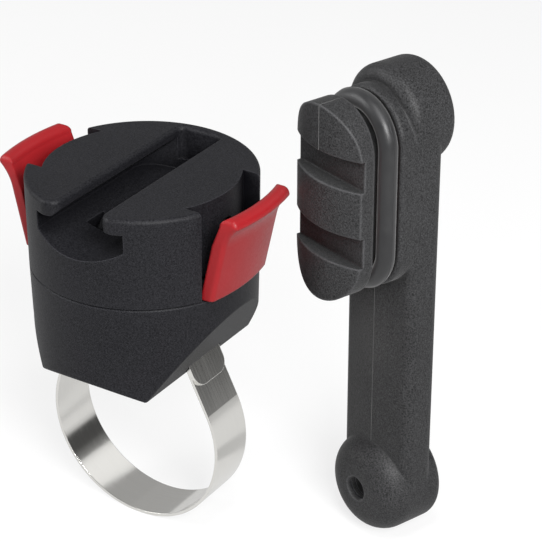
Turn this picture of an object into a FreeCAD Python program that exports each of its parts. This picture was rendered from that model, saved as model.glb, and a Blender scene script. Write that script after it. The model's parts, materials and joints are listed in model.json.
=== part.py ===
"""Bottle cage adapter: a quick-release socket on a steel strap, and the arm that carries the cage.

Millimetres. The tube that the strap grips runs along Y through the origin, Z is up, and the
mouth of the socket's slot faces -Y. The arm stands upright beside the socket, parted from it.
"""
import os
from math import acos, atan2, cos, pi, radians, sin, sqrt, tan

import FreeCAD, Part

V = FreeCAD.Vector

# Tube and strap
TUBE_R = 15.45              # 30.9 mm seat post
STRAP_W = 8.3
STRAP_T = 0.5
STRAP_LEAVE_DEG = 26.0      # height above the tube's side where the strap leaves the tube
TAIL_SHOWS = 3.6            # folded tail that shows below the flank
TAIL_CORNER_R = 2.2

# Base
SADDLE_R = 20.8
SADDLE_CLEAR = 0.05
FLANK_RUN = 8.25            # how far the flank runs in from the round side to the foot
FOOT_EDGE_R = 0.6
FLANK_DEG = 57.5
BASE_H = 14.3               # saddle top to seam
BASE_DRAFT = 0.45           # how much its round side narrows to the foot
SEAM_BEVEL = 0.2
WELL_WALL = 1.5             # plastic between the saddle and the yoke's well

# Socket housing
HEAD_H = 15.0
HEAD_TOP_R = 18.1
HEAD_DRAFT = 0.15           # how much its round side narrows to the seam
END_WALL = 1.9              # behind the slot's closed end
RIM_EDGE_R = 0.7
NECK_SLOT_W = 7.8
LIP_T = 2.4
LIP_CHAMFER = 0.9
LIP_NOSE_R = 2.0
SLOT_CORNER_R = 1.2

# Tongue of the arm
TONGUE_R = 7.5              # half its width and the radius of its round ends
TONGUE_EDGE_T = 2.4
CROWN_H = 2.0
GROOVE_PITCH = 12.4
GROOVE_W = 4.9
GROOVE_SINK = 0.6           # groove floor below the edge of the crown

# Rubber ring and its seat
RING_D = 2.9
RING_SQUEEZED = 2.3         # its thickness when the tongue is home
RING_SEAT_R = 4.8
RING_SEAT_H = 1.4

# Arm
BOLT_PITCH = 64.0           # the usual spacing of bottle cage bolts
BOLT_R = 2.1                # tapping size for M5
BOSS_R = 8.2
BOSS_BACK_H = 2.1           # proud of the bar's back
BOSS_FRONT_H = 3.0          # lower boss, proud of the bar's front
BOSS_BACK_EDGE_R = 1.8
BOSS_FRONT_EDGE_R = 4.6
BAR_HALF_W = 7.9
BAR_T = 5.6
BAR_CROWN = 0.9
BAR_EDGE_R = 1.9
FLANGE_R = 7.8
FLANGE_H = 2.0
FLANGE_EDGE_R = 0.6
TONGUE_BELOW_BOLT = 10.4    # tongue centre below the upper bolt
UPPER_HOLE_DEPTH = 9.0
ARM_X = 35.2                # where the arm stands
ARM_Y = 16.5
ARM_TURN_DEG = -20.0

# Release buttons
BUTTON_W = 15.1
BUTTON_T = 2.0
BUTTON_TIP_T = 2.8
BUTTON_LEAN_DEG = 12.5
BUTTON_FLARE_H = 5.0
BUTTON_FLARE = 1.1
BUTTON_CORNER_R = 1.0
BUTTON_EDGE_R = 0.8
BUTTON_PROUD = 0.65         # its foot beyond the round side
BUTTON_PLAN_R = 30.0        # flatter than the socket, seen from above
BUTTON_FOOT_GAP = 0.25
BUTTON_TOP_DROP = 0.2       # tip below the socket's top face
RECESS_DEPTH = 2.7          # behind the socket's round side
WEB_HALF = 5.5
PIVOT_INSET = 3.0           # pin behind the recess wall
PIVOT_PIN_R = 1.0
PIVOT_PIN_BITE = 2.6        # pin past the knuckle, each end
KNUCKLE_R = 1.9
PRESS_DEG = 9.0
LATCH_ARM_T = 3.0
LATCH_TIP = 0.6             # arm past its tooth
TOOTH_W = 3.4
TOOTH_HALF_X = 3.0
TOOTH_H = 1.3
TOOTH_RAMP = 1.2

# Button springs
SPRING_H = 8.5              # above the seam
SPRING_R = 1.55             # to the middle of the wire
SPRING_WIRE_R = 0.28
SPRING_TURNS = 4.5
SPRING_BORE_DEPTH = 4.2
SPRING_NUB_R = 1.0
SPRING_NUB_H = 1.4

# Strap tension screw, yoke and loop pins
TENSION_R = 2.0             # M4
TENSION_HEAD_R = 3.4
TENSION_DROP = 0.3          # head below the trough
TENSION_KEY = 2.5
TENSION_KEY_DEPTH = 1.6
LOOP_PIN_R = 1.25
YOKE_T = 3.5
YOKE_BLOCK_HALF = 3.6
YOKE_CHEEK_T = 1.8
YOKE_END = 1.1              # metal past the loop pin
YOKE_LIFT = 1.1             # yoke above the well's floor

# Screws that hold the base to the housing
CASE_SCREW_R = 1.5          # M3
CASE_SCREW_HEAD_R = 2.75
CASE_SCREW_INSET = 5.2      # from the round side
CASE_SCREW_BITE = 4.2
CASE_SCREW_SINK = 0.35
CASE_SCREW_KEY = 2.0
CASE_SCREW_KEY_DEPTH = 1.3

# Clearances
SLIDE_CLEAR = 0.4           # tongue to slot, each side
LIFT_CLEAR = 0.6            # tongue to slot, top to bottom
NECK_CLEAR = 0.3
BUTTON_SIDE_GAP = 0.35
RUN_GAP = 0.4               # room round what swings
PIN_FIT = 0.05              # pin in its bore, strap loop on its pin
THREAD_FIT = 0.04           # screw in its thread, pin in its groove
RING_FIT = 0.03
YOKE_CLEAR = 0.45
STRAP_CLEAR = 0.3           # strap in its slot
SPRING_SEAT_GAP = 0.2       # last coil to the thumb plate
CUT_PAST = 1.0              # a cut runs this far past the face it opens

# Worked out from the sizes above
SEAM_R = HEAD_TOP_R - HEAD_DRAFT
BASE_FOOT_R = SEAM_R - BASE_DRAFT
FOOT_HALF_W = SEAM_R - FLANK_RUN
SADDLE_TOP = TUBE_R + SADDLE_CLEAR
SADDLE_AXIS_Z = SADDLE_TOP - SADDLE_R
FOOT_Z = SADDLE_AXIS_Z + sqrt(SADDLE_R**2 - FOOT_HALF_W**2)
SEAM_Z = SADDLE_TOP + BASE_H
TOP_Z = SEAM_Z + HEAD_H
FLOOR_Z = -TUBE_R - STRAP_T
FLANK_RISE = tan(radians(FLANK_DEG))

SLOT_R = TONGUE_R + SLIDE_CLEAR
LIP_UNDER_Z = TOP_Z - LIP_T
SLOT_WALL_Z = LIP_UNDER_Z - TONGUE_EDGE_T - LIFT_CLEAR
TROUGH_Z = SLOT_WALL_Z - CROWN_H - LIFT_CLEAR / 2
SLOT_END_Y = HEAD_TOP_R - END_WALL
TONGUE_STRAIGHT = 2 * (SLOT_END_Y - SLOT_R)     # between the centres of the round ends
MOUTH_Y = -2 * HEAD_TOP_R   # cuts for the slot start well outside its mouth
NECK_R = NECK_SLOT_W / 2 - NECK_CLEAR
NECK_H = LIP_T + NECK_CLEAR + RING_SQUEEZED

RECESS_HALF = BUTTON_W / 2 + BUTTON_SIDE_GAP
RECESS_R = HEAD_TOP_R - RECESS_DEPTH
PIVOT_X = RECESS_R - PIVOT_INSET
PRESS_SIN = sin(radians(PRESS_DEG))
LATCH_Y = GROOVE_PITCH / 2
KNUCKLE_HALF = LATCH_Y + TOOTH_W / 2
PIVOT_PIN_HALF = KNUCKLE_HALF + PIVOT_PIN_BITE
LATCH_TIP_X = -TOOTH_HALF_X - LATCH_TIP
CHANNEL_HALF = TOOTH_W / 2 + RUN_GAP
CHANNEL_ROOF_Z = SEAM_Z + LATCH_ARM_T / 2 + RUN_GAP
CHANNEL_FLOOR_Z = SEAM_Z - LATCH_ARM_T / 2 - RUN_GAP - (PIVOT_X - LATCH_TIP_X) * PRESS_SIN
TOOTH_TOP_Z = TROUGH_Z + TOOTH_H

PLATE_LEAN = tan(radians(BUTTON_LEAN_DEG))
PLATE_FOOT_X = SEAM_R + BUTTON_PROUD
PLATE_LOW_Z = SEAM_Z + BUTTON_FOOT_GAP
PLATE_TOP_Z = TOP_Z - BUTTON_TOP_DROP
PLATE_H = PLATE_TOP_Z - PLATE_LOW_Z
SPRING_Z = SEAM_Z + SPRING_H
SPRING_BORE_X = RECESS_R - SPRING_BORE_DEPTH

WELL_FLOOR_Z = SADDLE_TOP + WELL_WALL
LOOP_PIN_Z = WELL_FLOOR_Z + YOKE_LIFT + YOKE_T / 2
CHEEK_Y = STRAP_W / 2 + STRAP_CLEAR
YOKE_HALF_Y = CHEEK_Y + YOKE_CHEEK_T
TENSION_HEAD_Z = TROUGH_Z - TENSION_DROP
CASE_SCREW_Y = SEAM_R - CASE_SCREW_INSET
CASE_SCREW_Z = SADDLE_TOP + CASE_SCREW_SINK

BAR_FRONT_Y = -BAR_T / 2 - BAR_CROWN
BOSS_BACK_Y = BAR_T / 2 + BOSS_BACK_H
LOWER_BOLT_Z = BOSS_R
UPPER_BOLT_Z = LOWER_BOLT_Z + BOLT_PITCH
TONGUE_Z = UPPER_BOLT_Z - TONGUE_BELOW_BOLT
FLANGE_Y = BAR_FRONT_Y - FLANGE_H


def box(x0, x1, y0, y1, z0, z1):
    return Part.makeBox(x1 - x0, y1 - y0, z1 - z0, V(x0, y0, z0))


def rod(radius, start, end):
    axis = end - start
    return Part.makeCylinder(radius, axis.Length, start, axis)


def cross_rod(radius, x, z, half_y):
    return rod(radius, V(x, -half_y, z), V(x, half_y, z))


def prism(edges, push):
    return Part.Face(Part.Wire(edges)).extrude(push)


def polygon(points, push):
    return prism(Part.makePolygon(points + points[:1]).Edges, push)


def turned(points):
    """Solid of revolution about Z from a closed outline in the XZ plane."""
    face = Part.Face(Part.makePolygon(points + points[:1]))
    return face.revolve(V(0, 0, 0), V(0, 0, 1), 360)


def line(a, b):
    return Part.LineSegment(a, b).toShape()


def arc(a, middle, b):
    return Part.Arc(a, middle, b).toShape()


def tangent_arc(a, heading, b):
    """Arc from a to b that leaves a along heading."""
    chord = b - a
    along = chord * (1 / chord.Length)
    side = heading - along * heading.dot(along)
    rise = chord.Length / 2 * tan(atan2(side.Length, heading.dot(along)) / 2)
    return arc(a, (a + b) * 0.5 + side.normalize() * rise, b)


def fuse(shapes):
    return shapes[0].multiFuse(shapes[1:]).removeSplitter()


def mirrored(shape):
    return shape.mirror(V(0, 0, 0), V(1, 0, 0))


def both(shape):
    return [shape, mirrored(shape)]


def edges_where(shape, test):
    return [edge for edge in shape.Edges if test(edge)]


def stadium(radius, straight, z_centre, y0, y1):
    """Upright oblong slab, round at both ends, between two Y planes."""
    up, down = z_centre + straight / 2, z_centre - straight / 2
    outline = [line(V(-radius, y0, down), V(-radius, y0, up)),
               arc(V(-radius, y0, up), V(0, y0, up + radius), V(radius, y0, up)),
               line(V(radius, y0, up), V(radius, y0, down)),
               arc(V(radius, y0, down), V(0, y0, down - radius), V(-radius, y0, down))]
    return prism(outline, V(0, y1 - y0, 0))


def strap_frame():
    """Where the strap's straight leg leaves the tube, its way up and its way out."""
    lean = radians(STRAP_LEAVE_DEG)
    out = V(cos(lean), 0, sin(lean))
    up = V(-sin(lean), 0, cos(lean))
    return out * (TUBE_R + STRAP_T), up, out


def loop_pin_centre():
    """On the outer face of the strap's leg, at the yoke's height."""
    foot, up, out = strap_frame()
    return foot + up * ((LOOP_PIN_Z - foot.z) / up.z)


def flank_entry():
    """Distance along the strap's outer face where it goes into the flank."""
    foot, up, out = strap_frame()
    return (FOOT_Z + (foot.x - FOOT_HALF_W) * FLANK_RISE - foot.z) / (up.z - up.x * FLANK_RISE)


def slab(start, end, out, low, high, half_y):
    """Flat strip from start to end, between two offsets along out."""
    corners = [start + out * low, end + out * low, end + out * high, start + out * high]
    return polygon([p + V(0, -half_y, 0) for p in corners], V(0, 2 * half_y, 0))


def strap_tail(start, end, out):
    """Folded-back end of the strap, lying on its outside, with two round corners."""
    tail = slab(start, end, out, 0, STRAP_T, STRAP_W / 2)
    along = (end - start).normalize()
    corners = edges_where(tail, lambda e: e.Length < 2 * STRAP_T
                          and abs((e.CenterOfMass - start).dot(along)) < STRAP_T / 2
                          and abs(e.CenterOfMass.y) > STRAP_W / 4)
    return tail.makeFillet(TAIL_CORNER_R, corners)


def strap_loop(pin, fork, up, out):
    """Two bands that part at the fork and meet round the pin."""
    half_y = STRAP_W / 2
    middle_r = LOOP_PIN_R + PIN_FIT + STRAP_T / 2
    outer_r = middle_r + STRAP_T / 2
    drop = (pin - fork).Length
    reach = sqrt(drop**2 + (STRAP_T / 2)**2)
    swing = acos(middle_r / reach) + atan2(STRAP_T / 2, drop)
    pieces = []
    mouth = [pin]
    for side in (-1, 1):
        ray = out * (side * sin(swing)) - up * cos(swing)
        touch = pin + ray * middle_r
        bend = fork + out * (side * STRAP_T / 2)
        across = (touch - bend).normalize().cross(V(0, 1, 0))
        pieces.append(slab(bend, touch, across, -STRAP_T / 2, STRAP_T / 2, half_y))
        pieces.append(cross_rod(STRAP_T / 2, bend.x, bend.z, half_y))
        mouth.append(pin + ray * (2 * outer_r / cos(swing)))
    ring = cross_rod(outer_r, pin.x, pin.z, half_y).cut(cross_rod(outer_r - STRAP_T, pin.x, pin.z, half_y))
    opening = polygon([p - V(0, 2 * half_y, 0) for p in mouth], V(0, 4 * half_y, 0))
    return pieces + [ring.cut(opening)]


def strap_side():
    """One leg of the strap with its loop round the pin and its folded tail."""
    foot, up, out = strap_frame()
    pin = loop_pin_centre()
    fork = pin - up * ((LOOP_PIN_Z - WELL_FLOOR_Z) / up.z)
    leg = slab(foot, fork, out, -STRAP_T, 0, STRAP_W / 2)
    tail = strap_tail(foot + up * (flank_entry() - TAIL_SHOWS), fork, out)
    return [leg, tail] + strap_loop(pin, fork, up, out)


def strap_round():
    """The part of the strap that wraps the tube."""
    half_y = STRAP_W / 2
    lean = radians(STRAP_LEAVE_DEG)
    rims = []
    for radius in (TUBE_R, TUBE_R + STRAP_T):
        left = V(-radius * cos(lean), -half_y, radius * sin(lean))
        right = V(radius * cos(lean), -half_y, radius * sin(lean))
        rims.append((left, arc(left, V(0, -half_y, -radius), right), right))
    (in_left, in_arc, in_right), (out_left, out_arc, out_right) = rims
    outline = [in_arc, line(in_right, out_right), out_arc, line(out_left, in_left)]
    return prism(outline, V(0, STRAP_W, 0))


def strap():
    """Steel band round the tube, with a looped end in each flank."""
    side = strap_side()
    return fuse([strap_round()] + side + [mirrored(piece) for piece in side])


def loop_pin():
    pin = loop_pin_centre()
    return cross_rod(LOOP_PIN_R, pin.x, pin.z, YOKE_HALF_Y)


def yoke_end_x():
    return loop_pin_centre().x + LOOP_PIN_R + YOKE_END


def yoke():
    """Bar that the tension screw draws up: a threaded middle and a fork at each end."""
    low, high = LOOP_PIN_Z - YOKE_T / 2, LOOP_PIN_Z + YOKE_T / 2
    end_x = yoke_end_x()
    middle = box(-YOKE_BLOCK_HALF, YOKE_BLOCK_HALF, -YOKE_HALF_Y, YOKE_HALF_Y, low, high)
    cheeks = [box(-end_x, end_x, CHEEK_Y, YOKE_HALF_Y, low, high),
              box(-end_x, end_x, -YOKE_HALF_Y, -CHEEK_Y, low, high)]
    thread = rod(TENSION_R + THREAD_FIT, V(0, 0, low - CUT_PAST), V(0, 0, high + CUT_PAST))
    pin_hole = cross_rod(LOOP_PIN_R + THREAD_FIT, loop_pin_centre().x, LOOP_PIN_Z, YOKE_HALF_Y + CUT_PAST)
    return fuse([middle] + cheeks).cut(Part.makeCompound([thread] + both(pin_hole)))


def pivot_grooves():
    """Half-round seats for the pivot pins, cut across the seam."""
    return both(cross_rod(PIVOT_PIN_R + THREAD_FIT, PIVOT_X, SEAM_Z, PIVOT_PIN_HALF + THREAD_FIT))


def other_hand(shape):
    """The same space for the left button: turned half round the socket's axis."""
    turned_copy = shape.copy()
    turned_copy.rotate(V(0, 0, 0), V(0, 0, 1), 180)
    return turned_copy


def latch_room(low_z, high_z, knuckle_low_z, knuckle_high_z):
    """Space for both buttons' knuckles and latch arms between two heights."""
    gap = KNUCKLE_R + RUN_GAP
    half = KNUCKLE_HALF + RUN_GAP
    pocket = box(PIVOT_X - gap, PIVOT_X + gap, -half, half, knuckle_low_z, knuckle_high_z)
    channel = box(LATCH_TIP_X - RUN_GAP, PIVOT_X, -LATCH_Y - CHANNEL_HALF, -LATCH_Y + CHANNEL_HALF,
                  low_z, high_z)
    return [pocket, other_hand(pocket), channel, other_hand(channel)]


def base_blank():
    """Round body with two sloping flanks and a hollow saddle underneath."""
    reach = 2 * SEAM_R
    wide = FOOT_HALF_W + (SEAM_Z - FOOT_Z) / FLANK_RISE
    foot, shoulder = V(FOOT_HALF_W, -reach, FOOT_Z), V(wide, -reach, SEAM_Z)
    left_foot, left_shoulder = V(-FOOT_HALF_W, -reach, FOOT_Z), V(-wide, -reach, SEAM_Z)
    section = [arc(left_foot, V(0, -reach, SADDLE_TOP), foot), line(foot, shoulder),
               line(shoulder, left_shoulder), line(left_shoulder, left_foot)]
    low_z = FOOT_Z - CUT_PAST
    round_body = turned([V(0, 0, low_z), V(BASE_FOOT_R, 0, low_z), V(SEAM_R, 0, SEAM_Z - SEAM_BEVEL),
                         V(SEAM_R - SEAM_BEVEL, 0, SEAM_Z), V(0, 0, SEAM_Z)])
    body = prism(section, V(0, 2 * reach, 0)).common(round_body)
    lower = edges_where(body, lambda e: e.BoundBox.ZMin < SEAM_Z - 2 * SEAM_BEVEL)
    return body.makeFillet(FOOT_EDGE_R, lower)


def case_screw_ways():
    """Clearance holes and countersinks for the two case screws."""
    ways = []
    hole_r, head_r = CASE_SCREW_R + PIN_FIT, CASE_SCREW_HEAD_R + PIN_FIT
    for y in (CASE_SCREW_Y, -CASE_SCREW_Y):
        ways.append(rod(hole_r, V(0, y, 0), V(0, y, SEAM_Z + CUT_PAST)))
        ways.append(rod(head_r, V(0, y, 0), V(0, y, CASE_SCREW_Z)))
        ways.append(Part.makeCone(head_r, hole_r, head_r - hole_r, V(0, y, CASE_SCREW_Z)))
    return ways


def clamp_base():
    """Lower moulding: holds the tube, the strap's ends and the lower half of the latch room."""
    half_x, half_y = yoke_end_x() + YOKE_CLEAR, YOKE_HALF_Y + YOKE_CLEAR
    above = SEAM_Z + CUT_PAST
    cuts = [box(-half_x, half_x, -half_y, half_y, WELL_FLOOR_Z, above)]
    cuts += latch_room(CHANNEL_FLOOR_Z, above, SEAM_Z - KNUCKLE_R - RUN_GAP, above)
    cuts += pivot_grooves() + case_screw_ways()
    foot, up, out = strap_frame()
    thick = STRAP_T + STRAP_CLEAR
    cuts += both(slab(foot, loop_pin_centre(), out, -thick, thick, STRAP_W / 2 + STRAP_CLEAR))
    return base_blank().cut(fuse(cuts))


def neck_slot():
    """The narrow way between the two lips, with round corners at its closed end."""
    half = NECK_SLOT_W / 2
    slot = box(-half, half, MOUTH_Y, SLOT_END_Y, SLOT_WALL_Z, TOP_Z + CUT_PAST)
    ends = edges_where(slot, lambda e: abs(e.CenterOfMass.y - SLOT_END_Y) < PIN_FIT
                       and e.BoundBox.ZLength > LIP_T)
    return slot.makeFillet(SLOT_CORNER_R, ends)


def tongue_way():
    """The wide way under the lips: chamfered lips, upright walls and a round trough."""
    half = NECK_SLOT_W / 2
    points = [V(half, MOUTH_Y, LIP_UNDER_Z + LIP_CHAMFER), V(half + LIP_CHAMFER, MOUTH_Y, LIP_UNDER_Z),
              V(SLOT_R, MOUTH_Y, LIP_UNDER_Z), V(SLOT_R, MOUTH_Y, SLOT_WALL_Z)]
    flipped = [V(-p.x, p.y, p.z) for p in points]
    outline = [line(a, b) for a, b in zip(points, points[1:])]
    outline.append(arc(points[-1], V(0, MOUTH_Y, TROUGH_Z), flipped[-1]))
    outline += [line(a, b) for a, b in zip(flipped[::-1], flipped[-2::-1])]
    outline.append(line(flipped[0], points[0]))
    way = prism(outline, V(0, SLOT_END_Y - MOUTH_Y, 0))
    low_z = TROUGH_Z - CUT_PAST
    bend_y = TONGUE_STRAIGHT / 2
    plan = [box(-SLOT_R, SLOT_R, MOUTH_Y, bend_y, low_z, TOP_Z),
            rod(SLOT_R, V(0, bend_y, low_z), V(0, bend_y, TOP_Z))]
    return way.common(fuse(plan))


def housing_blank():
    """Round head with the neck slot, its bull-nosed lips and its rounded rim."""
    body = turned([V(0, 0, SEAM_Z), V(SEAM_R - SEAM_BEVEL, 0, SEAM_Z), V(SEAM_R, 0, SEAM_Z + SEAM_BEVEL),
                   V(HEAD_TOP_R, 0, TOP_Z), V(0, 0, TOP_Z)]).cut(neck_slot())
    half = NECK_SLOT_W / 2
    noses = edges_where(body, lambda e: abs(abs(e.CenterOfMass.x) - half) < PIN_FIT
                        and e.CenterOfMass.y < 0 and e.BoundBox.ZLength > LIP_T)
    body = body.makeFillet(LIP_NOSE_R, noses)
    tops = edges_where(body, lambda e: e.BoundBox.ZMin > TOP_Z - PIN_FIT)
    return body.makeFillet(RIM_EDGE_R, tops)


def button_room():
    """Recess behind the right thumb plate, the way to its knuckle, and its spring's bore."""
    inner = rod(RECESS_R, V(0, 0, SEAM_Z - CUT_PAST), V(0, 0, TOP_Z + CUT_PAST))
    recess = box(0, 2 * HEAD_TOP_R, -RECESS_HALF, RECESS_HALF, SEAM_Z - CUT_PAST, TOP_Z + CUT_PAST)
    web_top = SEAM_Z + KNUCKLE_R + RUN_GAP + (RECESS_R - PIVOT_X) * PRESS_SIN
    web_way = box(PIVOT_X, HEAD_TOP_R, -WEB_HALF - RUN_GAP, WEB_HALF + RUN_GAP, SEAM_Z - CUT_PAST, web_top)
    bore_r = SPRING_R + SPRING_WIRE_R + RUN_GAP
    bore = rod(bore_r, V(SPRING_BORE_X, 0, SPRING_Z), V(HEAD_TOP_R, 0, SPRING_Z))
    return [recess.cut(inner), web_way, bore]


def tooth_window():
    """Opening in the trough's floor that the right button's tooth rises through."""
    swing = (TOOTH_TOP_Z - SEAM_Z) * PRESS_SIN
    return box(-TOOTH_HALF_X - swing - RUN_GAP, TOOTH_HALF_X + RUN_GAP, -LATCH_Y - CHANNEL_HALF,
               -LATCH_Y + CHANNEL_HALF, SEAM_Z, SLOT_WALL_Z)


def tension_screw_way():
    hole_r, head_r = TENSION_R + PIN_FIT, TENSION_HEAD_R + PIN_FIT
    sink = head_r - hole_r
    return [rod(hole_r, V(0, 0, SEAM_Z - CUT_PAST), V(0, 0, TOP_Z)),
            rod(head_r, V(0, 0, TENSION_HEAD_Z), V(0, 0, TOP_Z)),
            Part.makeCone(hole_r, head_r, sink, V(0, 0, TENSION_HEAD_Z - sink))]


def socket_housing():
    """Upper moulding with the slot for the tongue and a recess for each button."""
    cuts = [tongue_way()] + tension_screw_way() + pivot_grooves()
    cuts += latch_room(SEAM_Z - CUT_PAST, CHANNEL_ROOF_Z, SEAM_Z - CUT_PAST, SEAM_Z + KNUCKLE_R + RUN_GAP)
    for room in button_room() + [tooth_window()]:
        cuts += [room, other_hand(room)]
    for y in (CASE_SCREW_Y, -CASE_SCREW_Y):
        end_z = SEAM_Z + CASE_SCREW_BITE + RUN_GAP
        cuts.append(rod(CASE_SCREW_R + THREAD_FIT, V(0, y, SEAM_Z - CUT_PAST), V(0, y, end_z)))
    return housing_blank().cut(fuse(cuts))


def inner_x(z):
    """Back of the thumb plate in the middle of its width."""
    return PLATE_FOOT_X - BUTTON_T + (z - PLATE_LOW_Z) * PLATE_LEAN


def plate_section():
    """Thumb plate in the XZ plane, its foot at Z 0: a leaning wall that flares to a round tip."""
    bend = PLATE_H - BUTTON_FLARE_H
    round_r = BUTTON_TIP_T / 2
    bend_out = PLATE_FOOT_X + bend * PLATE_LEAN
    tip_out = bend_out + BUTTON_FLARE_H * PLATE_LEAN + BUTTON_FLARE
    foot = V(PLATE_FOOT_X, 0, 0)
    outer_bend, outer_tip = V(bend_out, 0, bend), V(tip_out, 0, PLATE_H - round_r)
    inset = V(BUTTON_T, 0, 0)
    inner_tip = outer_tip - V(BUTTON_TIP_T, 0, 0)
    heading = (outer_bend - foot).normalize()
    return [line(foot, outer_bend), tangent_arc(outer_bend, heading, outer_tip),
            arc(outer_tip, V(tip_out - round_r, 0, PLATE_H), inner_tip),
            line(inner_tip, outer_bend - inset), line(outer_bend - inset, foot - inset),
            line(foot - inset, foot)]


def thumb_plate():
    """The outside of the button, slightly curved in plan, with two round upper corners."""
    half = BUTTON_W / 2
    centre = V(PLATE_FOOT_X - BUTTON_PLAN_R, 0, 0)
    section = Part.Face(Part.Wire(plate_section()))
    section.rotate(centre, V(0, 0, 1), -45)
    ring = section.revolve(centre, V(0, 0, 1), 90)
    blank = box(0, 2 * HEAD_TOP_R, -half, half, SEAM_Z - PLATE_LOW_Z, PLATE_H)
    corners = edges_where(blank, lambda e: e.BoundBox.XLength > HEAD_TOP_R
                          and e.BoundBox.ZMin > PLATE_H / 2)
    plate = ring.common(blank.makeFillet(BUTTON_CORNER_R, corners))
    outer = edges_where(plate, lambda e: abs(abs(e.CenterOfMass.y) - half) < PIN_FIT
                        and e.CenterOfMass.x > inner_x(PLATE_LOW_Z + e.CenterOfMass.z))
    plate = plate.makeFillet(BUTTON_EDGE_R, outer)
    plate.translate(V(0, 0, PLATE_LOW_Z))
    return plate


def latch(y):
    """Arm from the knuckle under the trough, with a tooth ramped towards the slot's mouth."""
    front, back = y - TOOTH_W / 2, y + TOOTH_W / 2
    arm = box(LATCH_TIP_X, PIVOT_X, front, back, SEAM_Z - LATCH_ARM_T / 2, SEAM_Z + LATCH_ARM_T / 2)
    x = -TOOTH_HALF_X
    tooth = polygon([V(x, front, SEAM_Z), V(x, back, SEAM_Z), V(x, back, TOOTH_TOP_Z),
                     V(x, front + TOOTH_RAMP, TOOTH_TOP_Z), V(x, front, TOOTH_TOP_Z - TOOTH_RAMP)],
                    V(2 * TOOTH_HALF_X, 0, 0))
    return [arm, tooth]


def button(latch_y):
    """Right-hand rocker: thumb plate outside, knuckle on its pin, latch inside."""
    web_end = PLATE_FOOT_X - BUTTON_T / 2
    web = box(PIVOT_X, web_end, -WEB_HALF, WEB_HALF, PLATE_LOW_Z, SEAM_Z + KNUCKLE_R)
    knuckle = cross_rod(KNUCKLE_R, PIVOT_X, SEAM_Z, KNUCKLE_HALF)
    nub = rod(SPRING_NUB_R, V(inner_x(SPRING_Z) - SPRING_NUB_H, 0, SPRING_Z),
              V(inner_x(SPRING_Z) + BUTTON_T / 2, 0, SPRING_Z))
    lever = fuse([thumb_plate(), web, knuckle, nub] + latch(latch_y))
    return lever.cut(cross_rod(PIVOT_PIN_R + PIN_FIT, PIVOT_X, SEAM_Z, KNUCKLE_HALF + CUT_PAST))


def coil_point(turns, start, length):
    """Middle of the spring's wire after so many turns."""
    angle = 2 * pi * turns
    return V(start + length * turns / SPRING_TURNS, SPRING_R * cos(angle), SPRING_Z + SPRING_R * sin(angle))


def button_spring():
    """Coil between the bore in the housing and the right thumb plate, wound in quarter-turn bends."""
    start = SPRING_BORE_X + SPRING_WIRE_R
    length = inner_x(SPRING_Z) - SPRING_SEAT_GAP - SPRING_WIRE_R - start
    last = round(8 * SPRING_TURNS)
    points = [coil_point(i / 8, start, length) for i in range(last + 1)]
    bends = [arc(points[i], points[i + 1], points[i + 2]) for i in range(0, last, 2)]
    heading = bends[0].tangentAt(bends[0].FirstParameter)
    rim = [Part.makeCircle(SPRING_WIRE_R, points[0], heading, turn, turn + 90) for turn in (0, 90, 180, 270)]
    return Part.Wire(bends).makePipeShell([Part.Wire(rim)], True, True)


def pivot_pin():
    return cross_rod(PIVOT_PIN_R, PIVOT_X, SEAM_Z, PIVOT_PIN_HALF)


def hexagon(across_flats, low_z, high_z):
    radius = across_flats / sqrt(3)
    points = [V(radius * cos(i * pi / 3), radius * sin(i * pi / 3), low_z) for i in range(6)]
    return polygon(points, V(0, 0, high_z - low_z))


def sunk_screw(radius, head_r, length, key, key_depth):
    """Countersunk screw with its head up and its top at the origin."""
    sink = head_r - radius
    cone = Part.makeCone(radius, head_r, sink, V(0, 0, -sink))
    shank = rod(radius, V(0, 0, -length), V(0, 0, -sink / 2))
    return fuse([cone, shank]).cut(hexagon(key, -key_depth, CUT_PAST))


def tension_screw():
    """Its thread ends level with the underside of the yoke."""
    length = TENSION_HEAD_Z - (LOOP_PIN_Z - YOKE_T / 2)
    screw = sunk_screw(TENSION_R, TENSION_HEAD_R, length, TENSION_KEY, TENSION_KEY_DEPTH)
    screw.translate(V(0, 0, TENSION_HEAD_Z))
    return screw


def case_screws():
    """Two screws driven up from the saddle into the housing."""
    length = SEAM_Z + CASE_SCREW_BITE - CASE_SCREW_Z
    screws = []
    for y in (CASE_SCREW_Y, -CASE_SCREW_Y):
        screw = sunk_screw(CASE_SCREW_R, CASE_SCREW_HEAD_R, length, CASE_SCREW_KEY, CASE_SCREW_KEY_DEPTH)
        screw.rotate(V(0, 0, 0), V(1, 0, 0), 180)
        screw.translate(V(0, y, CASE_SCREW_Z))
        screws.append(screw)
    return Part.makeCompound(screws)


def boss(z_centre, front_y, front_edge):
    """Round boss for a cage bolt, its axis along Y, with rounded rims."""
    back_edge = BOSS_BACK_EDGE_R
    flat_front, flat_back = V(BOSS_R - front_edge, front_y, 0), V(BOSS_R - back_edge, BOSS_BACK_Y, 0)
    side_front, side_back = V(BOSS_R, front_y + front_edge, 0), V(BOSS_R, BOSS_BACK_Y - back_edge, 0)
    outline = [line(V(0, front_y, 0), flat_front), tangent_arc(flat_front, V(1, 0, 0), side_front),
               line(side_front, side_back), tangent_arc(side_back, V(0, 1, 0), flat_back),
               line(flat_back, V(0, BOSS_BACK_Y, 0)), line(V(0, BOSS_BACK_Y, 0), V(0, front_y, 0))]
    round_boss = Part.Face(Part.Wire(outline)).revolve(V(0, 0, 0), V(0, 1, 0), 360)
    round_boss.translate(V(0, 0, z_centre))
    return round_boss


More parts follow.
